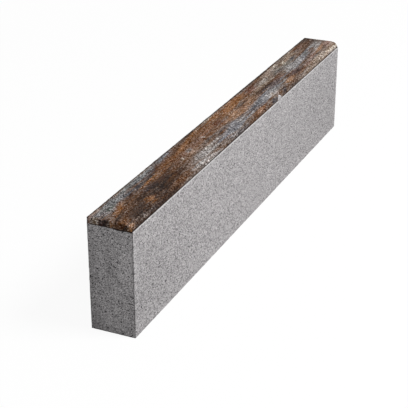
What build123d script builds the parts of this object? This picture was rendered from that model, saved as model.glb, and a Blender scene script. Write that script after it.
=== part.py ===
from build123d import *
from math import sqrt
import os

# Driving dimensions, in millimetres.
length = 1000.0        # along X, from butt end to butt end
width = 80.0           # across Y, with the path side at -Y and the back at +Y
height = 200.0         # along Z, from the bed to the top
facing_depth = 13.0    # coloured facing mix, pressed down onto the grey base mix
nose_radius = 15.0     # rounded top edge on the path side
press_ledge = 1.0      # ledge that the pressing head leaves under the nose
back_arris = 1.5       # radius of the top edge at the back
end_arris = 0.5        # broken edge round each butt end, above the bed

# Places in the section, across Y and up Z. The nose is part of a circle that
# would run out below the facing mix, so it stops short at the press ledge.
path_side = -width / 2
back_side = width / 2
ledge_height = height - facing_depth
nose_foot = path_side + press_ledge
nose_reach = sqrt(nose_radius**2 - (nose_radius - facing_depth) ** 2)
nose_crown = nose_foot + nose_reach

# Base mix and facing mix are pressed together in one mould and set as one
# stone, so the whole stone is one solid with one section along its length.
with BuildPart() as kerb_stone:
    with BuildSketch(Plane.YZ.offset(-length / 2)) as section:
        with BuildLine() as outline:
            Polyline(
                (nose_crown, height),
                (back_side, height),
                (back_side, 0),
                (path_side, 0),
                (path_side, ledge_height),
                (nose_foot, ledge_height),
            )
            RadiusArc((nose_foot, ledge_height), (nose_crown, height), nose_radius)
        make_face()
        back_corner = section.vertices().group_by(Axis.Y)[-1].sort_by(Axis.X)[-1]
        fillet(back_corner, back_arris)
    extrude(amount=length)

    # The mould leaves a fine broken edge at both ends, but none along the bed.
    butt_ends = kerb_stone.faces().filter_by(Axis.X)
    rim = butt_ends.edges().filter_by(lambda edge: edge.center().Z > end_arris)
    chamfer(rim, end_arris)

kerb_stone.part.label = "kerb_stone"

os.makedirs("parts", exist_ok=True)
export_step(kerb_stone.part, "parts/kerb_stone.step")
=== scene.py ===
import math

import bmesh
import bpy
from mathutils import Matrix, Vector
from mathutils.noise import cell


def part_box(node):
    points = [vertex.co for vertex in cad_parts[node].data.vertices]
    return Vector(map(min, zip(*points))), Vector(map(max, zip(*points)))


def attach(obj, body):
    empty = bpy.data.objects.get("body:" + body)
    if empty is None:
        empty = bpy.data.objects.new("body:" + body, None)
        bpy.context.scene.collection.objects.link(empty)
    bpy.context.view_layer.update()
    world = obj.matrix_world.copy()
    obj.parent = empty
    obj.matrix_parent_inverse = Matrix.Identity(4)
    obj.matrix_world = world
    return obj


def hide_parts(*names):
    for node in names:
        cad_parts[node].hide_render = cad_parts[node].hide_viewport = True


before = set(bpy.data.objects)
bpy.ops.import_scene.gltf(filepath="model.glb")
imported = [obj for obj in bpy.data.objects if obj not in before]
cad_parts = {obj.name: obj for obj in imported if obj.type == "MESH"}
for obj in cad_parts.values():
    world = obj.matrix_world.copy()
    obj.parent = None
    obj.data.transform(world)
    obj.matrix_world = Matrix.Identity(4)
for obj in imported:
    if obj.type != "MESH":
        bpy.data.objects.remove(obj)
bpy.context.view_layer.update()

low, high = (Vector(corner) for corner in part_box("kerb_stone"))
size = high - low
print("frame loaded, stone", [round(side, 4) for side in size])

# Camera, at the photo's angle on the near butt end and the path side.
camera = {
    "place": (-1.9356, -0.7985, 1.0078),   # metres
    "heading": 24.0,                       # degrees from +X towards +Y
    "pitch": 25.44,                        # degrees below the horizon
    "lens": 105.0,                         # mm
    "sensor": 36,                          # mm across
    "sight": 60,                           # metres that it sees
}


def addCamera():
    tilt = math.radians(90 - camera["pitch"])
    turn = math.radians(camera["heading"] - 90)
    bpy.ops.object.camera_add(location=camera["place"], rotation=(tilt, 0, turn))
    eye = bpy.context.object
    eye.name = "photoCamera"
    eye.data.lens = camera["lens"]
    eye.data.sensor_width = camera["sensor"]
    eye.data.clip_end = camera["sight"]
    bpy.context.scene.camera = eye


# The stone's shape. Lengths are in metres.
stone = {
    "facingDepth": 0.013,     # coloured facing mix on top of the grey base mix
    "noseRadius": 0.015,
    "noseSteps": 8,
    "pressLedge": 0.001,
    "backArris": 0.0015,
    "backSteps": 3,
    "endArris": 0.0009,
    "endSteps": (0.3, 0.7),   # share of it that each of its steps goes inwards
    "grain": 0.0027,          # side of one face of the finished mesh
    "stretches": 37,          # the skin is made once and repeated this many times
    "unevenness": 0.00008,    # how far the corners of those faces wander
    "seed": 7,
    "smoothAngle": 32,        # degrees, past which an edge stays sharp
}
ledgeHeight = high.z - stone["facingDepth"]
noseFoot = low.y + stone["pressLedge"]
tiny = 1e-5                   # metres, less than any step of the shape
squareOn = 0.99               # a face whose normal is this far along X lies on a butt end


def pick(kind, test):
    # selects the verts, edges or faces whose middle passes the test, and nothing else
    mode = {"verts": "VERT", "edges": "EDGE", "faces": "FACE"}[kind]
    bpy.ops.mesh.select_mode(type=mode)
    bpy.ops.mesh.select_all(action="DESELECT")
    mesh = bpy.context.edit_object.data
    shape = bmesh.from_edit_mesh(mesh)
    for item in getattr(shape, kind):
        corners = [item] if kind == "verts" else item.verts
        middle = sum((vert.co for vert in corners), Vector()) / len(corners)
        if test(middle, item):
            item.select_set(True)
    shape.select_flush_mode()
    bmesh.update_edit_mesh(mesh)


def cut(co, no, **clearing):
    bpy.ops.mesh.bisect(plane_co=co, plane_no=no, threshold=tiny / 10, **clearing)


def evenly(start, stop):
    # places between two ends, about one grain apart, without the ends
    count = max(1, round((stop - start) / stone["grain"]))
    return [start + (stop - start) * i / count for i in range(1, count)]


def nosePoints():
    # middle of the nose's circle, and its arc from the ledge up to the top, as (y, z)
    radius = stone["noseRadius"]
    reach = math.sqrt(radius**2 - (radius - stone["facingDepth"]) ** 2)
    middle = (noseFoot + reach, high.z - radius)
    lowest = math.atan2(ledgeHeight - middle[1], reach)
    points = []
    for i in range(stone["noseSteps"] + 1):
        angle = lowest + (math.pi / 2 - lowest) * i / stone["noseSteps"]
        points.append((middle[0] - radius * math.cos(angle), middle[1] + radius * math.sin(angle)))
    return middle, points


def addSection():
    # the butt end's outline: base mix, ledge, then the facing with its nose pressed round
    start = low.x + stone["endArris"]
    bpy.ops.mesh.primitive_plane_add(
        size=1, location=(start, 0, ledgeHeight / 2), rotation=(0, -math.pi / 2, 0)
    )
    section = bpy.context.object
    section.scale = (ledgeHeight - low.z, size.y, 1)
    bpy.ops.object.transform_apply(location=True, rotation=True, scale=True)
    bpy.ops.object.mode_set(mode="EDIT")
    bpy.ops.mesh.select_all(action="SELECT")
    cut((0, noseFoot, 0), (0, 1, 0))
    pick("edges", lambda at, edge: at.z > ledgeHeight - tiny and at.y > noseFoot)
    bpy.ops.mesh.extrude_region_move(TRANSFORM_OT_translate={"value": (0, 0, stone["facingDepth"])})
    middle, points = nosePoints()
    for (yA, zA), (yB, zB) in zip(points, points[1:]):
        pick("faces", lambda at, face: at.z > ledgeHeight)
        out = Vector((0, (yA + yB) / 2 - middle[0], (zA + zB) / 2 - middle[1]))
        cut((0, yA, zA), out, clear_outer=True)
    pick("verts", lambda at, vert: at.z > high.z - tiny and at.y > high.y - tiny)
    bpy.ops.mesh.bevel(
        offset=stone["backArris"], segments=stone["backSteps"], profile=0.5, affect="VERTICES"
    )
    bpy.ops.mesh.select_mode(type="FACE")
    bpy.ops.mesh.select_all(action="SELECT")
    bpy.ops.mesh.dissolve_faces()
    return section, points


def cutGrid(points):
    # cuts across the section, each through a corner of the nose where it meets it
    half = len(points) // 2
    crown = points[-1][0]
    heights = evenly(low.z, ledgeHeight) + [ledgeHeight] + [z for y, z in points[1:half + 1]]
    across = [y for y, z in points[half + 1:]] + evenly(crown, high.y - stone["backArris"])
    below = evenly(low.y, points[half][0])
    for z in heights:
        bpy.ops.mesh.select_all(action="SELECT")
        cut((0, 0, z), (0, 0, 1))
    for y in across + below:
        bpy.ops.mesh.select_all(action="SELECT")
        cut((0, y, 0), (0, 1, 0))


def breakEnds():
    # broken edge round both butt ends, but the bed stays flat out to the end
    arris = stone["endArris"]
    for inwards in stone["endSteps"]:
        pick("faces", lambda at, face: abs(face.normal.x) > squareOn)
        bpy.ops.mesh.inset(thickness=arris * inwards, depth=arris * (1 - inwards))
    pick("verts", lambda at, vert: abs(at.x) > high.x - arris + tiny and at.z < low.z + arris + tiny)
    bpy.ops.transform.resize(value=(1, 1, 0), center_override=(0, 0, low.z))


def addBlock():
    # both butt ends, then a short stretch of skin that is repeated from one to the other
    block, points = addSection()
    cutGrid(points)
    length = size.x - 2 * stone["endArris"]
    stretch = length / stone["stretches"]
    steps = round(stretch / stone["grain"])
    bpy.ops.mesh.select_all(action="SELECT")
    bpy.ops.mesh.duplicate_move(TRANSFORM_OT_translate={"value": (length, 0, 0)})
    pick("edges", lambda at, edge: at.x < 0 and edge.is_boundary)
    bpy.ops.mesh.extrude_repeat(steps=steps, offset=(stretch / steps, 0, 0))
    pick("faces", lambda at, face: low.x + stone["endArris"] + tiny < at.x < 0)
    for i in range(stone["stretches"] - 1):
        bpy.ops.mesh.duplicate_move(TRANSFORM_OT_translate={"value": (stretch, 0, 0)})
    bpy.ops.mesh.select_all(action="SELECT")
    bpy.ops.mesh.remove_doubles(threshold=5 * tiny)
    bpy.ops.mesh.normals_make_consistent(inside=False)
    breakEnds()
    bpy.ops.mesh.select_all(action="SELECT")
    bpy.ops.transform.vertex_random(offset=stone["unevenness"], seed=stone["seed"])
    bpy.ops.object.mode_set(mode="OBJECT")
    return block


# Blow holes that the press leaves in the base mix, with a few in the facing.
pores = {
    "seed": (11, 5, 8),
    "cells": 3,              # random cells along one grain, so each face has its own
    "wholeFace": 6e-6,       # square metres, so no face gets two holes
    "facingShare": 0.3,      # how many of them the facing gets
    "sizes": [               # share of the faces, rim, slope and depth
        {"share": 0.008, "rim": 0.00030, "slope": 0.00035, "depth": 0.0012},
        {"share": 0.012, "rim": 0.00055, "slope": 0.00030, "depth": 0.0010},
        {"share": 0.012, "rim": 0.00080, "slope": 0.00020, "depth": 0.0007},
    ],
}


def addPores():
    # a face's place decides on its hole, so the holes are the same in every run
    spacing = pores["cells"] / stone["grain"]
    start = 0
    for hole in pores["sizes"]:
        stop = start + hole["share"]

        def chosen(at, face):
            if at.z < low.z + stone["grain"] or face.calc_area() < pores["wholeFace"]:
                return False
            # cell gives -1 to 1
            chance = 0.5 + 0.5 * cell(at * spacing + Vector(pores["seed"]))
            few = pores["facingShare"] if at.z > ledgeHeight else 1
            return start <= chance < start + (stop - start) * few

        pick("faces", chosen)
        bpy.ops.mesh.inset(thickness=hole["rim"], use_individual=True)
        bpy.ops.mesh.inset(thickness=hole["slope"], depth=-hole["depth"], use_individual=True)
        markPores()
        start = stop


def markPores():
    # notes the selected verts, which are the floors of holes, for the material
    mesh = bpy.context.edit_object.data
    shape = bmesh.from_edit_mesh(mesh)
    layer = shape.verts.layers.float.get("pore") or shape.verts.layers.float.new("pore")
    for vert in shape.verts:
        if vert.select:
            vert[layer] = 1.0
    bmesh.update_edit_mesh(mesh)


# Relief, all by displacement that is applied. Strengths and sizes are in metres.
relief = {
    "forms": {
        "broad": {"size": 0.070, "strength": 0.0003, "middle": 0.6, "group": ""},
        "trowel": {"size": 0.010, "strength": 0.0006, "middle": 0.6, "group": "facing"},
        "worn": {"size": 0.007, "strength": -0.0009, "middle": 0.35, "group": "arris"},
    },
    "detail": 2,
    "overLedge": 0.0006,     # the facing's relief begins this far over the ledge
    "arrisReach": 0.004,     # how far from an edge its wear goes
}

# The one chip that shows in the photo, where the nose meets the ledge.
chip = {
    "place": (0.141, -0.0385, 0.1885),
    "reach": 0.009,
    "core": 1 / 3,                     # share of its reach that is pushed in whole
    "push": (0, 0.0016, -0.0012),
    "bared": (0.011, 0.010, 0.0075),   # how far it bares the grey base mix
    "raggedPatch": 0.004,
    "ragged": 1.2,
    "edge": (1.4, 1.6),                # where the bare patch ends and the facing is whole
}


def arrisWear(at):
    # 1 on an edge of the stone and 0 a few millimetres off
    side = high.y - abs(at.y)
    end = high.x - abs(at.x)
    top = high.z - at.z
    ledge = math.hypot(at.y - low.y, at.z - ledgeHeight)
    pairs = [math.hypot(end, side), math.hypot(end, top), math.hypot(end, at.z), ledge]
    if at.y > 0:
        pairs.append(math.hypot(side, top))
    pairs.append(math.hypot(side, at.z))
    return max(0, 1 - min(pairs) / relief["arrisReach"])


def groupVerts(block):
    # the vertex groups that hold the relief to its place
    spots = [(vert.index, vert.co.copy()) for vert in block.data.vertices]
    facingFoot = ledgeHeight + relief["overLedge"]
    group = block.vertex_groups.new(name="facing")
    group.add([index for index, at in spots if at.z > facingFoot], 1, "REPLACE")
    group = block.vertex_groups.new(name="arris")
    for index, at in spots:
        wear = arrisWear(at)
        if wear > 0:
            group.add([index], wear, "REPLACE")


def addRelief(block):
    groupVerts(block)
    for name, form in relief["forms"].items():
        clouds = bpy.data.textures.new(name, type="CLOUDS")
        clouds.noise_scale = form["size"]
        clouds.noise_depth = relief["detail"]
        bpy.ops.object.modifier_add(type="DISPLACE")
        modifier = block.modifiers[-1]
        modifier.name = name
        modifier.texture = clouds
        modifier.texture_coords = "LOCAL"
        modifier.strength = form["strength"]
        modifier.mid_level = form["middle"]
        modifier.vertex_group = form["group"]
        bpy.ops.object.modifier_apply(modifier=name)
    bpy.ops.object.mode_set(mode="EDIT")
    addChip()
    # the bed is struck flat
    pick("verts", lambda at, vert: at.z < low.z + stone["grain"] / 2)
    bpy.ops.transform.resize(value=(1, 1, 0), center_override=(0, 0, low.z))
    bpy.ops.object.mode_set(mode="OBJECT")
    bpy.ops.object.shade_smooth_by_angle(angle=math.radians(stone["smoothAngle"]))


def addChip():
    place = Vector(chip["place"])
    core = chip["reach"] * chip["core"]
    pick("verts", lambda at, vert: (at - place).length < core and at.z > ledgeHeight)
    bpy.ops.transform.translate(
        value=chip["push"], use_proportional_edit=True,
        proportional_size=chip["reach"], proportional_edit_falloff="ROOT",
    )


def paint(red, green, blue):
    # a colour as it looks on screen, 0 to 255, turned into the values that nodes take
    def linear(part):
        part /= 255
        return part / 12.92 if part <= 0.04045 else ((part + 0.055) / 1.055) ** 2.4
    return (linear(red), linear(green), linear(blue), 1)


# Values that the patterns of both mixes share.
pattern = {
    "blotch": 0.6,        # size of a blotch of noise, as a share of the noise's cell
    "neutral": 0.6,       # share of a change of tone that is grey
    "scatter": 0.85,      # how far specks stray from even rows
    "solid": 0.7,         # share of a speck's radius inside which it is whole
    "turnOver": 0.003,    # metres from an end or the back where a pattern begins to turn over
    "turned": 0.0015,     # and where it has turned
}


# Node helpers. A feed is a socket to link or a value to set.
def addNode(tree, kind, feeds, **settings):
    node = tree.nodes.new("ShaderNode" + kind)
    for name, value in settings.items():
        setattr(node, name, value)
    for key, feed in feeds.items():
        if isinstance(feed, bpy.types.NodeSocket):
            tree.links.new(feed, node.inputs[key])
        else:
            node.inputs[key].default_value = feed
    return node


def calc(tree, operation, *feeds):
    return addNode(tree, "Math", dict(enumerate(feeds)), operation=operation).outputs[0]


def move(tree, operation, *feeds):
    return addNode(tree, "VectorMath", dict(enumerate(feeds)), operation=operation).outputs[0]


def farOut(tree, point):
    return addNode(tree, "VectorMath", {0: point}, operation="LENGTH").outputs["Value"]


def axes(tree, point):
    return addNode(tree, "SeparateXYZ", {0: point}).outputs


def ramp(tree, value, start, stop, fromValue=0, toValue=1):
    # smooth step from one value to another
    feeds = {0: value, 1: start, 2: stop, 3: fromValue, 4: toValue}
    return addNode(tree, "MapRange", feeds, interpolation_type="SMOOTHSTEP").outputs[0]


def scaled(tree, value, fromValue, toValue):
    return addNode(tree, "MapRange", {0: value, 3: fromValue, 4: toValue}).outputs[0]


def between(tree, value, form):
    return scaled(tree, value, form["low"], form["high"])


def blend(tree, mask, under, over, how="MIX"):
    feeds = {0: mask, 6: under, 7: over}
    return addNode(tree, "Mix", feeds, data_type="RGBA", blend_type=how).outputs[2]


def laid(tree, mask, strength, under, over, how="MIX"):
    # a colour laid over another at a part of the mask's strength
    return blend(tree, calc(tree, "MULTIPLY", mask, strength), under, over, how)


def toned(tree, color, factor):
    # lightens or darkens a colour, with more than half of the change kept neutral
    grey = addNode(tree, "RGBToBW", {0: color}).outputs[0]
    part = blend(tree, pattern["neutral"], color, grey)
    change = blend(tree, 1, part, calc(tree, "SUBTRACT", factor, 1), "MULTIPLY")
    return blend(tree, 1, color, change, "ADD")


def noise(tree, point, patch, detail=2, rough=0.5):
    # patch is about the size of one blotch, in metres
    scale = pattern["blotch"] / patch
    feeds = {"Vector": point, "Scale": scale, "Detail": detail, "Roughness": rough}
    return addNode(tree, "TexNoise", feeds).outputs


def drawnNoise(tree, point, form):
    # noise that is drawn out along the stone
    point = move(tree, "MULTIPLY", point, (form["squeeze"], 1, 1))
    return noise(tree, point, form["patch"], form["detail"], form.get("rough", 0.5))


def drawnTone(tree, point, form):
    value = drawnNoise(tree, point, form)[0]
    return ramp(tree, value, form["from"], form["to"], form["low"], form["high"])


def grains(tree, point, form):
    # three random values for each sand grain
    cells = addNode(tree, "TexVoronoi", {"Vector": point, "Scale": 1 / form["width"]}).outputs
    return addNode(tree, "SeparateColor", {0: cells["Color"]}).outputs


def specks(tree, point, form):
    # 1 inside small round grains, in a share of the cells. The radius is part of the spacing
    feeds = {"Vector": point, "Scale": 1 / form["spacing"], "Randomness": pattern["scatter"]}
    cells = addNode(tree, "TexVoronoi", feeds).outputs
    chance = addNode(tree, "SeparateColor", {0: cells["Color"]}).outputs[0]
    dot = ramp(tree, cells["Distance"], form["radius"], form["radius"] * pattern["solid"])
    return calc(tree, "MULTIPLY", dot, calc(tree, "LESS_THAN", chance, form["share"]))


def fromMiddle(tree, point, place, reach, turn=(0, 0, 0)):
    # 0 in the middle of a patch and 1 where its reach ends
    feeds = {"Vector": point, "Location": place, "Rotation": turn, "Scale": reach}
    return farOut(tree, addNode(tree, "Mapping", feeds, vector_type="TEXTURE").outputs[0])


def onEnds(tree, parts, reach=pattern["turnOver"], whole=pattern["turned"]):
    return ramp(tree, calc(tree, "ABSOLUTE", parts["X"]), high.x - reach, high.x - whole)


def onBack(tree, parts, reach=pattern["turnOver"]):
    return ramp(tree, parts["Y"], high.y - reach, high.y - pattern["turned"])


def newGroup(name, inputs, outputs):
    # shader node group with named inputs and outputs
    kinds = {"number": "NodeSocketFloat", "colour": "NodeSocketColor", "vector": "NodeSocketVector"}
    tree = bpy.data.node_groups.new(name, "ShaderNodeTree")
    for label, (kind, value) in inputs.items():
        socket = tree.interface.new_socket(label, in_out="INPUT", socket_type=kinds[kind])
        socket.default_value = value
    for label, kind in outputs.items():
        tree.interface.new_socket(label, in_out="OUTPUT", socket_type=kinds[kind])
    given = tree.nodes.new("NodeGroupInput").outputs
    result = tree.nodes.new("NodeGroupOutput").inputs
    return tree, given, result


def addGroup(tree, group, feeds):
    return addNode(tree, "Group", feeds, node_tree=group).outputs


# Where the facing begins. It is a clean line at the ledge and a wavy one on the ends and back.
facingLine = {
    "clear": 0.0004,          # over the ledge, so that the ledge itself stays grey
    "wave": 0.0032,
    "waveLength": 0.012,
    "slope": 0.03,            # the facing gets thicker towards the path side
    "blur": 0.0006,
}


def makeFacingLine():
    tree, given, result = newGroup("facingLine", {"Point": ("vector", (0, 0, 0))}, {"Facing": "number"})
    point = given["Point"]
    parts = axes(tree, point)
    free = calc(tree, "MAXIMUM", onEnds(tree, parts), onBack(tree, parts))
    wave = noise(tree, point, facingLine["waveLength"], detail=3)[0]
    lift = scaled(tree, wave, -facingLine["wave"], facingLine["wave"])
    lift = calc(tree, "MULTIPLY_ADD", parts["Y"], facingLine["slope"], lift)
    lift = calc(tree, "MULTIPLY_ADD", lift, free, ledgeHeight + facingLine["clear"])
    above = ramp(tree, calc(tree, "SUBTRACT", parts["Z"], lift), 0, facingLine["blur"])
    # the chip bares the base mix, with a ragged edge
    far = fromMiddle(tree, point, chip["place"], chip["bared"])
    ragged = noise(tree, point, chip["raggedPatch"], detail=3)[0]
    whole = ramp(tree, calc(tree, "MULTIPLY_ADD", ragged, chip["ragged"], far), *chip["edge"])
    tree.links.new(calc(tree, "MULTIPLY", above, whole), result["Facing"])
    return tree


noseStretch = 0.52            # how much longer than it is wide the surface round the nose is


def makeUnroll():
    # lays the top, nose, ends and back out flat: X along the stone from the near end,
    # Y across it from the back edge, in metres
    tree, given, result = newGroup("facingUnroll", {"Point": ("vector", (0, 0, 0))}, {"Flat": "vector"})
    parts = axes(tree, given["Point"])
    drop = calc(tree, "MAXIMUM", calc(tree, "SUBTRACT", high.z, parts["Z"]), 0)
    overEnd = calc(tree, "MULTIPLY", onEnds(tree, parts), drop)
    overEnd = calc(tree, "MULTIPLY", calc(tree, "SIGN", parts["X"]), overEnd)
    along = calc(tree, "ADD", calc(tree, "ADD", parts["X"], high.x), overEnd)
    crown = nosePoints()[1][-1][0]
    onNose = calc(tree, "LESS_THAN", parts["Y"], crown)
    overNose = calc(tree, "MULTIPLY", calc(tree, "MULTIPLY", drop, noseStretch), onNose)
    overBack = calc(tree, "MULTIPLY", drop, onBack(tree, parts))
    across = calc(tree, "SUBTRACT", high.y, parts["Y"])
    across = calc(tree, "SUBTRACT", calc(tree, "ADD", across, overNose), overBack)
    flat = addNode(tree, "CombineXYZ", {0: along, 1: across}).outputs[0]
    tree.links.new(flat, result["Flat"])
    return tree


# A streak is whole up to one share of its reach and has faded out at the other.
streakForm = {"whole": 0.4, "faded": 1.35, "drag": 0.0008}


def makeStreak():
    # one streak of pigment with a ragged edge, laid over the colour below it
    inputs = {
        "Color": ("colour", (0.5, 0.5, 0.5, 1)),
        "Flat": ("vector", (0, 0, 0)),
        "Ragged": ("number", 0),
        "Place": ("vector", (0, 0, 0)),
        "Reach": ("vector", (1, 1, 1)),
        "Turn": ("vector", (0, 0, 0)),
        "Pigment": ("colour", (0.5, 0.5, 0.5, 1)),
        "Strength": ("number", 1),
    }
    tree, given, result = newGroup("pigmentStreak", inputs, {"Color": "colour", "Flat": "vector"})
    far = fromMiddle(tree, given["Flat"], given["Place"], given["Reach"], given["Turn"])
    far = calc(tree, "ADD", far, given["Ragged"])
    mask = ramp(tree, far, streakForm["faded"], streakForm["whole"])
    mask = calc(tree, "MULTIPLY", mask, given["Strength"])
    tree.links.new(blend(tree, mask, given["Color"], given["Pigment"]), result["Color"])
    # the streak also drags what is laid on it later, by a part of a millimetre
    drag = addNode(tree, "CombineXYZ", {0: calc(tree, "MULTIPLY", mask, streakForm["drag"])}).outputs[0]
    tree.links.new(move(tree, "ADD", given["Flat"], drag), result["Flat"])
    return tree


pigments = {
    "rust": paint(115, 80, 52),
    "orange": paint(140, 98, 62),
    "brown": paint(100, 72, 52),
    "umber": paint(56, 40, 31),
    "coal": paint(38, 30, 27),
    "redBrown": paint(102, 66, 50),
    "tan": paint(158, 124, 98),
    "beige": paint(166, 151, 137),
    "cream": paint(202, 193, 180),
    "rose": paint(148, 121, 111),
    "ash": paint(162, 158, 156),
    "blueGrey": paint(131, 132, 137),
    "greenGrey": paint(112, 115, 110),
    "slate": paint(62, 63, 69),
    "violet": paint(86, 70, 69),
    "stone": paint(118, 106, 99),
    "basalt": paint(28, 24, 23),
    "pit": paint(34, 29, 28),     # pores, as dirt and painted shade in their hollows, and the lines where the facing ends
}

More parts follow.
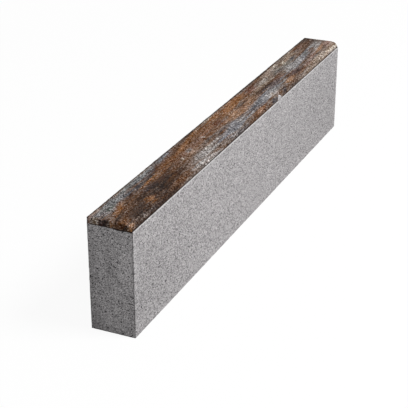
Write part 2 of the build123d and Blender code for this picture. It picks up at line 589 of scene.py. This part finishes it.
# The facing's streaks, laid one over the other from first to last. A row is the pigment, its
# place from the near end and from the back edge, its reach along and across, all in
# millimetres, its turn in degrees towards the back edge, and its strength.
streaks = [
    # near end to the first dark patch
    ("blueGrey", 50, 11, 80, 17, 0, 0.8),
    ("umber", 100, 61, 150, 32, 3, 0.8),
    ("brown", 60, 41, 70, 14, 4, 0.5),
    ("tan", 18, 5, 20, 5, 0, 0.5),
    ("brown", 42, 3, 14, 4, 0, 0.7),
    ("rose", 88, 6, 16, 7, 5, 0.9),
    ("beige", 90, 4, 8, 4, 10, 0.5),
    ("ash", 28, 13, 14, 5, 3, 0.7),
    ("greenGrey", 42, 20, 16, 4, 3, 0.8),
    ("slate", 104, 22, 30, 4, -2, 0.5),
    ("orange", 45, 35, 30, 7, 18, 0.8),
    ("coal", 24, 47, 26, 4, 16, 0.7),
    ("rust", 10, 61, 16, 7, 8, 0.8),
    ("tan", 6, 76, 12, 6, 0, 0.7),
    ("coal", 96, 46, 24, 7, 5, 0.5),
    ("orange", 98, 63, 15, 8, 6, 0.8),
    ("coal", 48, 73, 20, 7, 0, 0.65),
    ("slate", 80, 82, 36, 5, 0, 0.7),
    # blue-grey strip along the back, with the rust band beside it
    ("blueGrey", 175, 9, 90, 13, 2, 0.9),
    ("beige", 195, 3, 30, 4, 0, 0.6),
    ("ash", 120, 7, 20, 5, 0, 0.6),
    ("ash", 178, 10, 22, 5, 3, 0.5),
    ("slate", 212, 18, 50, 5, 4, 0.85),
    ("slate", 136, 23, 22, 5, 3, 0.8),
    ("coal", 174, 24, 44, 4, 3, 0.6),
    ("greenGrey", 120, 8, 130, 11, 1, 0.4),
    ("umber", 255, 15, 95, 5, 3, 0.75),
    ("rust", 225, 30, 80, 8, 5, 0.9),
    ("orange", 168, 28, 42, 3, 3, 0.8),
    ("slate", 226, 16, 34, 6, 4, 0.7),
    ("slate", 140, 41, 20, 6, 3, 0.7),
    ("brown", 225, 45, 46, 10, 5, 0.8),
    ("umber", 196, 38, 60, 5, 5, 0.6),
    ("coal", 172, 55, 48, 12, 4, 0.85),
    ("rust", 182, 61, 28, 5, 4, 0.5),
    ("coal", 150, 65, 30, 6, 0, 0.7),
    ("coal", 214, 60, 20, 4, 8, 0.5),
    ("brown", 210, 73, 26, 6, 4, 0.6),
    # second quarter
    ("blueGrey", 262, 6, 30, 8, 4, 0.9),
    ("rust", 330, 22, 130, 15, 2, 0.85),
    ("rose", 330, 34, 110, 9, 3, 0.5),
    ("umber", 345, 6, 60, 4, 2, 0.5),
    ("orange", 325, 17, 34, 4, 3, 0.7),
    ("brown", 290, 32, 50, 6, 4, 0.6),
    ("tan", 385, 10, 40, 3, 3, 0.7),
    ("cream", 452, 5, 20, 3, 2, 0.6),
    ("tan", 304, 45, 60, 8, 4, 0.5),
    ("brown", 272, 54, 28, 14, 5, 0.6),
    ("cream", 266, 42, 8, 3, 14, 0.7),
    ("ash", 306, 37, 12, 5, 6, 0.7),
    ("brown", 348, 41, 50, 10, 5, 0.6),
    ("rust", 420, 32, 60, 14, 5, 0.6),
    ("cream", 369, 31, 7, 2, -40, 0.8),
    ("redBrown", 447, 30, 14, 8, 4, 0.8),
    ("rose", 461, 34, 10, 4, 20, 0.6),
    ("orange", 468, 14, 44, 7, 4, 0.7),
    ("tan", 490, 43, 34, 10, 5, 0.8),
    ("ash", 308, 67, 62, 13, 3, 0.75),
    ("brown", 262, 61, 16, 7, 8, 0.5),
    ("ash", 290, 82, 44, 6, 0, 0.5),
    ("cream", 340, 58, 20, 4, 8, 0.3),
    ("ash", 372, 59, 20, 5, 4, 0.5),
    ("violet", 376, 64, 18, 4, 4, 0.5),
    ("blueGrey", 430, 63, 60, 12, 4, 0.85),
    ("ash", 376, 56, 20, 4, 4, 0.4),
    ("ash", 486, 61, 20, 6, 6, 0.7),
    ("slate", 440, 82, 60, 5, 2, 0.6),
    # third quarter
    ("orange", 552, 14, 70, 11, 2, 0.9),
    ("orange", 576, 28, 26, 5, 3, 0.45),
    ("redBrown", 560, 2, 60, 3, 0, 0.7),
    ("rust", 600, 22, 30, 6, 6, 0.6),
    ("tan", 548, 45, 56, 12, 4, 0.85),
    ("orange", 540, 39, 34, 4, 4, 0.6),
    ("umber", 553, 32, 28, 3, 0, 0.7),
    ("redBrown", 638, 14, 30, 12, 6, 0.8),
    ("rose", 646, 19, 14, 4, 6, 0.6),
    ("beige", 680, 28, 40, 8, 5, 0.6),
    ("brown", 690, 7, 40, 7, 3, 0.5),
    ("umber", 656, 39, 52, 6, 0, 0.7),
    ("violet", 690, 42, 40, 5, 0, 0.5),
    ("coal", 675, 41, 22, 5, -4, 0.6),
    ("redBrown", 722, 43, 26, 6, -4, 0.7),
    ("ash", 698, 21, 26, 7, 8, 0.75),
    ("rose", 738, 13, 24, 8, 4, 0.6),
    ("beige", 730, 12, 40, 8, 4, 0.4),
    ("blueGrey", 610, 58, 120, 12, 2, 0.9),
    ("ash", 636, 58, 54, 5, 4, 0.6),
    ("violet", 684, 50, 36, 6, 3, 0.8),
    ("slate", 540, 62, 24, 4, 6, 0.8),
    ("brown", 545, 80, 48, 7, 0, 0.85),
    ("ash", 514, 69, 24, 4, 3, 0.5),
    ("redBrown", 555, 75, 24, 4, 3, 0.4),
    ("tan", 552, 74, 20, 3, 3, 0.5),
    ("ash", 640, 70, 40, 6, 2, 0.75),
    ("slate", 613, 81, 17, 7, 10, 0.9),
    ("beige", 626, 72, 12, 5, 30, 0.7),
    ("slate", 670, 79, 14, 5, 8, 0.7),
    ("tan", 730, 69, 34, 6, 5, 0.8),
    ("ash", 714, 59, 26, 4, 4, 0.5),
    ("umber", 725, 82, 34, 4, 0, 0.6),
    ("tan", 506, 33, 52, 9, 4, 0.55),
    ("beige", 664, 25, 54, 5, 5, 0.3),
    # far quarter
    ("beige", 830, 26, 110, 30, 0, 0.4),
    ("stone", 870, 27, 130, 6, 2, 0.45),
    ("greenGrey", 800, 30, 50, 10, 6, 0.5),
    ("cream", 792, 8, 20, 4, 6, 0.7),
    ("greenGrey", 775, 23, 30, 8, 8, 0.6),
    ("violet", 776, 30, 36, 7, 5, 0.5),
    ("stone", 775, 17, 26, 4, 5, 0.6),
    ("cream", 818, 19, 13, 7, 24, 0.85),
    ("slate", 854, 24, 10, 5, 0, 0.7),
    ("blueGrey", 860, 43, 110, 12, 4, 0.85),
    ("ash", 800, 39, 40, 7, 4, 0.6),
    ("beige", 870, 9, 40, 8, 4, 0.6),
    ("violet", 907, 14, 16, 5, 6, 0.6),
    ("brown", 962, 17, 44, 9, 6, 0.9),
    ("umber", 990, 12, 20, 10, 6, 0.7),
    ("umber", 975, 7, 40, 6, 4, 0.8),
    ("rose", 933, 14, 10, 3, 10, 0.7),
    ("brown", 892, 29, 30, 6, 4, 0.6),
    ("umber", 956, 27, 60, 6, 5, 0.6),
    ("ash", 962, 40, 40, 6, 6, 0.7),
    ("greenGrey", 894, 42, 20, 4, 6, 0.6),
    ("violet", 775, 62, 36, 9, -5, 0.8),
    ("rose", 850, 66, 40, 5, 3, 0.5),
    ("umber", 786, 64, 26, 5, 0, 0.5),
    ("ash", 822, 44, 60, 7, 4, 0.6),
    ("rose", 895, 58, 26, 5, 10, 0.8),
    ("tan", 940, 57, 34, 6, 8, 0.9),
    ("ash", 940, 49, 46, 4, 6, 0.6),
    ("rose", 985, 61, 30, 10, 4, 0.8),
    ("beige", 910, 78, 110, 9, 2, 0.75),
    ("cream", 972, 82, 30, 5, 3, 0.45),
    ("brown", 850, 76, 14, 3, 5, 0.5),
    ("stone", 930, 74, 18, 3, 5, 0.5),
    ("stone", 775, 80, 40, 6, 2, 0.6),
    ("umber", 870, 84, 60, 3, 0, 0.4),
    # dark lines along both edges
    ("umber", 620, 1, 440, 4, 0, 0.75),
    ("brown", 120, 0, 150, 4, 0, 0.6),
    ("umber", 60, 84, 130, 7, 0, 0.85),
]
ends = [
    # the near end's strip, 13 mm deep, so its places lie before 0
    ("rose", -6, 4, 10, 6, 0, 0.8),
    ("beige", -7, 15, 10, 8, 0, 0.9),
    ("violet", -7, 28, 10, 8, 0, 0.9),
    ("coal", -4, 31, 5, 6, 0, 0.8),
    ("tan", -7, 44, 9, 7, 0, 0.7),
    ("brown", -5, 60, 8, 12, 0, 0.8),
    ("coal", -11, 66, 4, 9, 0, 0.8),
    ("tan", -6, 79, 9, 5, 0, 0.8),
]

# The facing's patterns. Patches are in metres. Squeeze shortens the way along the stone for
# the noise, so a small one gives long patches.
facing = {
    "flows": [               # what the streaks follow, with how far they wander along and across
        {"squeeze": 0.22, "patch": 0.020, "detail": 2, "reach": (0.016, 0.006)},
        {"squeeze": 0.4, "patch": 0.005, "detail": 3, "reach": (0.005, 0.0022)},
    ],
    "ragged": 0.35,          # how much the sand roughens the edge of a streak
    "frayed": {
        "squeeze": 0.06, "patch": 0.0035, "detail": 3,
        "from": 0.3, "to": 0.7, "low": -0.5, "high": 0.5,
    },
    "ground": {
        "squeeze": 1 / 12, "patch": 0.006, "detail": 3,
        "from": 0.35, "to": 0.65, "low": 0, "high": 1,
    },
    "smear": {
        "squeeze": 0.08, "patch": 0.0026, "detail": 3, "rough": 0.6,
        "from": 0.35, "to": 0.65, "low": 0.72, "high": 1.14,
    },
    "fleck": {
        "squeeze": 0.45, "patch": 0.0028, "detail": 1,
        "from": 0.4, "to": 0.6, "low": 0.9, "high": 1.07,
    },
    "sand": {"width": 0.0018, "low": 0.12, "high": 2.0},
    "grit": {"width": 0.0028, "low": 0.45, "high": 1.55},
    "light": {"spacing": 0.0042, "share": 0.6, "radius": 0.30, "strength": 0.9, "rust": 0.4},
    "dark": {"spacing": 0.0042, "share": 0.9, "radius": 0.34, "strength": 0.9},
    "beside": (0.0021, 0.0021, 0.0021),   # keeps the dark specks off the light ones
    "pore": 0.8,
    "creaseShadeLine": (0.0038, 0.0013),   # over the ledge, where its dark line of painted shade ends and is whole
    "backLine": 0.004,       # how far the dark line reaches from the back edge
    "lineDark": 0.9,         # how dark both lines are
}


def addStreaks(tree, color, flat, ragged):
    streak = makeStreak()
    for pigment, along, across, length, width, turn, strength in streaks + ends:
        feeds = {
            "Color": color,
            "Flat": flat,
            "Ragged": ragged,
            "Place": (along / 1000, across / 1000, 0),
            "Reach": (length / 1000, width / 1000, 1),
            "Turn": (0, 0, math.radians(-turn)),
            "Pigment": pigments[pigment],
            "Strength": strength,
        }
        mixed = addGroup(tree, streak, feeds)
        color = mixed["Color"]
        flat = mixed["Flat"]
    return color, flat


def makeFacingMix():
    inputs = {"Point": ("vector", (0, 0, 0)), "Pore": ("number", 0)}
    tree, given, result = newGroup("facingMix", inputs, {"Color": "colour", "Sand": "number"})
    point = given["Point"]
    flat = addGroup(tree, makeUnroll(), {"Point": point})["Flat"]
    # the streaks follow a flow that wanders at two scales
    warped = flat
    for flow in facing["flows"]:
        along, across = flow["reach"]
        shift = move(tree, "SUBTRACT", drawnNoise(tree, flat, flow)["Color"], (0.5, 0.5, 0.5))
        shift = move(tree, "MULTIPLY", shift, (along * 2, across * 2, 0))
        warped = move(tree, "ADD", warped, shift)
    sand = grains(tree, point, facing["sand"])
    ragged = scaled(tree, sand[0], -facing["ragged"] / 2, facing["ragged"] / 2)
    ragged = calc(tree, "ADD", ragged, drawnTone(tree, warped, facing["frayed"]))
    ground = drawnTone(tree, warped, facing["ground"])
    color = blend(tree, ground, pigments["brown"], pigments["stone"])
    color, warped = addStreaks(tree, color, warped, ragged)
    # fine smears, then sand grains, then coarse ones
    color = blend(tree, 1, color, drawnTone(tree, warped, facing["smear"]), "MULTIPLY")
    color = toned(tree, color, between(tree, sand[0], facing["sand"]))
    coarse = grains(tree, point, facing["grit"])[2]
    color = toned(tree, color, between(tree, coarse, facing["grit"]))
    color = toned(tree, color, drawnTone(tree, point, facing["fleck"]))
    light = specks(tree, point, facing["light"])
    dark = specks(tree, move(tree, "ADD", point, facing["beside"]), facing["dark"])
    color = laid(tree, dark, facing["dark"]["strength"], color, pigments["basalt"])
    color = toned(tree, color, calc(tree, "MULTIPLY_ADD", light, facing["light"]["strength"], 1))
    color = laid(tree, light, facing["light"]["rust"], color, pigments["rust"], "LIGHTEN")
    # pores painted dark in their hollows: partly dirt, partly painted shade
    color = laid(tree, given["Pore"], facing["pore"], color, pigments["pit"])
    # thin dark lines: painted shade in the crease where the facing ends over the ledge, and a darker
    # line along the back edge
    parts = axes(tree, point)
    outer, whole = facing["creaseShadeLine"]
    foot = ramp(tree, parts["Z"], ledgeHeight + outer, ledgeHeight + whole)
    reach = facing["backLine"]
    top = ramp(tree, parts["Z"], high.z - reach, high.z - pattern["turned"])
    back = calc(tree, "MULTIPLY", onBack(tree, parts, reach), top)
    line = calc(tree, "MAXIMUM", foot, back)
    color = laid(tree, line, facing["lineDark"], color, pigments["pit"])
    tree.links.new(color, result["Color"])
    tree.links.new(sand[0], result["Sand"])
    return tree


base = {
    "grey": paint(172, 169, 170),
    "dark": paint(34, 33, 34),
    "light": paint(226, 224, 223),
    "black": paint(14, 13, 13),
    "pit": paint(34, 33, 33),
    "blotch": {"patch": 0.03, "low": 0.95, "high": 1.05},
    "sand": {"width": 0.0013, "low": 0.33, "high": 1.67},
    "grit": {"width": 0.0021, "low": 0.96, "high": 1.04},
    "darkSpecks": {"spacing": 0.0030, "share": 0.75, "radius": 0.30, "strength": 0.72},
    "lightSpecks": {"spacing": 0.0030, "share": 0.6, "radius": 0.27, "strength": 0.8},
    "holeShadeSpecks": {"spacing": 0.0065, "share": 1, "radius": 0.20},
    "beside": (0.0018, 0.0018, 0.0018),   # keeps the light specks off the dark ones
    "edgeDark": 0.6,
    "edgeDarkEnd": (0.002, 0.001),        # metres from the end where the darkening begins and is whole
    "edgeDarkEdge": (0.0018, 0.0008),     # and from the end's edges
    "ledgeHighlight": 0.5,
    "ledgeHighlightUnder": (0.0012, 0.0004),  # metres under the ledge
    "ledgeHighlightIn": (0.0018, 0.0012),     # metres in from the path side
    "pore": 0.93,
    "poreEdge": 0.25,                 # a pore is painted dark from this far down its slope
}

# Broad lighter and darker parts of the base mix: place, reach in metres, and tone in the middle. The
# last two are painted shade: they darken the path side towards both of its ends, standing in for the
# lamp's light falling off there.
tonesAndSideShade = [
    ((low.x, -0.028, 0.125), (0.03, 0.022, 0.090), 1.28),
    ((low.x, 0.036, 0.100), (0.03, 0.020, 0.150), 0.80),
    ((low.x, 0.004, 0.110), (0.03, 0.012, 0.080), 0.88),
    ((low.x, 0.036, 0.010), (0.03, 0.034, 0.070), 0.76),
    ((low.x, low.y, 0.060), (0.35, 0.03, 0.160), 0.88),
    ((0.45, low.y, 0.080), (0.38, 0.03, 0.160), 0.89),
]


def makeBaseMix():
    inputs = {"Point": ("vector", (0, 0, 0)), "Pore": ("number", 0)}
    tree, given, result = newGroup("baseMix", inputs, {"Color": "colour", "Sand": "number"})
    point = given["Point"]
    sand = grains(tree, point, base["sand"])
    coarse = grains(tree, point, base["grit"])
    blotch = noise(tree, point, base["blotch"]["patch"], detail=1)[0]
    tones = [between(tree, blotch, base["blotch"])]
    # broad tones, with painted shade along the path side
    for place, reach, tone in tonesAndSideShade:
        tones.append(ramp(tree, fromMiddle(tree, point, place, reach), 1, 0, 1, tone))
    tones.append(between(tree, sand[0], base["sand"]))
    tones.append(between(tree, coarse[2], base["grit"]))
    color = base["grey"]
    for tone in tones:
        color = blend(tree, 1, color, tone, "MULTIPLY")
    dark = specks(tree, point, base["darkSpecks"])
    light = specks(tree, move(tree, "ADD", point, base["beside"]), base["lightSpecks"])
    holeShade = specks(tree, point, base["holeShadeSpecks"])
    color = laid(tree, dark, base["darkSpecks"]["strength"], color, base["dark"])
    color = laid(tree, light, base["lightSpecks"]["strength"], color, base["light"])
    # painted shade: near-black dots for small blow holes that the mesh does not have
    color = blend(tree, holeShade, color, base["black"])
    # darker along the side and bed edges of the butt ends
    parts = axes(tree, point)
    outer, whole = base["edgeDarkEdge"]
    side = ramp(tree, calc(tree, "ABSOLUTE", parts["Y"]), high.y - outer, high.y - whole)
    bed = ramp(tree, parts["Z"], low.z + outer, low.z + whole)
    edgeDark = calc(tree, "MAXIMUM", side, bed)
    edgeDark = calc(tree, "MULTIPLY", onEnds(tree, parts, *base["edgeDarkEnd"]), edgeDark)
    color = laid(tree, edgeDark, base["edgeDark"], color, base["dark"])
    # painted highlight: the ledge and the edge under it are painted pale, as where they catch the light
    outer, whole = base["ledgeHighlightUnder"]
    ledge = ramp(tree, parts["Z"], ledgeHeight - outer, ledgeHeight - whole)
    outer, whole = base["ledgeHighlightIn"]
    onPath = ramp(tree, parts["Y"], low.y + outer, low.y + whole)
    ledgeHighlight = calc(tree, "MULTIPLY", ledge, onPath)
    color = laid(tree, ledgeHighlight, base["ledgeHighlight"], color, base["light"])
    # pores painted dark in their hollows: partly dirt, partly painted shade
    hollow = ramp(tree, given["Pore"], 0, base["poreEdge"])
    color = laid(tree, hollow, base["pore"], color, base["pit"])
    tree.links.new(color, result["Color"])
    tree.links.new(sand[0], result["Sand"])
    return tree


concrete = {
    "rough": {"patch": 0.004, "low": 0.82, "high": 0.98},
    "bump": 0.35,
    "bumpDepth": 0.0004,      # metres
    "specular": 0.1,
}


def makeConcrete():
    material = bpy.data.materials.new("pressedConcrete")
    material.use_nodes = True
    tree = material.node_tree
    shader = tree.nodes["Principled BSDF"]
    point = tree.nodes.new("ShaderNodeTexCoord").outputs["Object"]
    pore = addNode(tree, "Attribute", {}, attribute_name="pore").outputs["Fac"]
    feeds = {"Point": point, "Pore": pore}
    mask = addGroup(tree, makeFacingLine(), {"Point": point})["Facing"]
    grey = addGroup(tree, makeBaseMix(), feeds)
    mottled = addGroup(tree, makeFacingMix(), feeds)
    color = blend(tree, mask, grey["Color"], mottled["Color"])
    tree.links.new(color, shader.inputs["Base Color"])
    rough = noise(tree, point, concrete["rough"]["patch"])[0]
    tree.links.new(between(tree, rough, concrete["rough"]), shader.inputs["Roughness"])
    height = addNode(tree, "Mix", {0: mask, 2: grey["Sand"], 3: mottled["Sand"]}).outputs[0]
    feeds = {"Strength": concrete["bump"], "Distance": concrete["bumpDepth"], "Height": height}
    tree.links.new(addNode(tree, "Bump", feeds).outputs[0], shader.inputs["Normal"])
    shader.inputs["Specular IOR Level"].default_value = concrete["specular"]
    return material


# Plain soft studio: one large lamp over the path side, a pale floor and a pale sky.
studio = {
    "lampPlace": (0.35, -3.1, 4.05),
    "lampSize": 2.0,
    "lampPower": 222,
    "sky": 0.33,
    "floorSize": 16,
    "floorTone": 0.62,        # how bright the floor is for the light that it throws back
    "floorGap": 0.0002,       # the floor lies this far under the bed
    "shadow": 0.07,           # share of the floor's look that keeps the stone's shadow
    "shadowNear": 1.0,        # metres from the middle out to where that share is whole
    "shadowFar": 3.0,         # and to where it has faded out
}


def seenRays(tree):
    # 1 for what the camera sees, straight or in a reflection
    rays = tree.nodes.new("ShaderNodeLightPath").outputs
    mirrored = calc(tree, "MAXIMUM", rays["Is Glossy Ray"], rays["Is Transmission Ray"])
    return calc(tree, "MAXIMUM", rays["Is Camera Ray"], mirrored)


def addFloor():
    bpy.ops.mesh.primitive_plane_add(
        size=studio["floorSize"], location=(0, 0, low.z - studio["floorGap"])
    )
    floor = bpy.context.object
    floor.name = "floor"
    material = bpy.data.materials.new("paleFloor")
    material.use_nodes = True
    tree = material.node_tree
    tree.nodes.clear()
    tone = studio["floorTone"]
    plain = addNode(tree, "BsdfDiffuse", {"Color": (tone, tone, tone, 1)}).outputs[0]
    shaded = addNode(tree, "BsdfDiffuse", {"Color": (1, 1, 1, 1)}).outputs[0]
    white = addNode(tree, "Emission", {"Color": (1, 1, 1, 1), "Strength": 1}).outputs[0]
    far = farOut(tree, tree.nodes.new("ShaderNodeTexCoord").outputs["Object"])
    share = ramp(tree, far, studio["shadowFar"], studio["shadowNear"], 0, studio["shadow"])
    look = addNode(tree, "MixShader", {0: share, 1: white, 2: shaded}).outputs[0]
    surface = addNode(tree, "MixShader", {0: seenRays(tree), 1: plain, 2: look}).outputs[0]
    output = tree.nodes.new("ShaderNodeOutputMaterial")
    tree.links.new(surface, output.inputs["Surface"])
    floor.data.materials.append(material)


def addLight():
    place = Vector(studio["lampPlace"])
    aim = (Vector((0, 0, high.z / 2)) - place).to_track_quat("-Z", "Y").to_euler()
    bpy.ops.object.light_add(type="AREA", location=place, rotation=aim)
    lamp = bpy.context.object
    lamp.name = "softLamp"
    lamp.data.shape = "DISK"
    lamp.data.size = studio["lampSize"]
    lamp.data.energy = studio["lampPower"]
    world = bpy.data.worlds.new("studio")
    bpy.context.scene.world = world
    world.use_nodes = True
    tree = world.node_tree
    level = addNode(tree, "Mix", {0: seenRays(tree), 2: studio["sky"], 3: 1.0}).outputs[0]
    tree.links.new(level, tree.nodes["Background"].inputs["Strength"])
    tree.nodes["Background"].inputs["Color"].default_value = (1, 1, 1, 1)


bpy.ops.object.select_all(action="DESELECT")
bpy.context.scene.view_settings.view_transform = "Standard"
addCamera()
addFloor()
addLight()
print("camera, floor and light set")

block = addBlock()
block.name = "kerbStone"
print("stone pressed,", len(block.data.polygons), "faces")
bpy.ops.object.mode_set(mode="EDIT")
addPores()
bpy.ops.object.mode_set(mode="OBJECT")
addRelief(block)
print("pores and relief added,", len(block.data.polygons), "faces")

block.data.materials.clear()
block.data.materials.append(makeConcrete())
print("concrete mixed,", len(streaks) + len(ends), "streaks in the facing")

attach(block, "root")
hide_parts("kerb_stone")
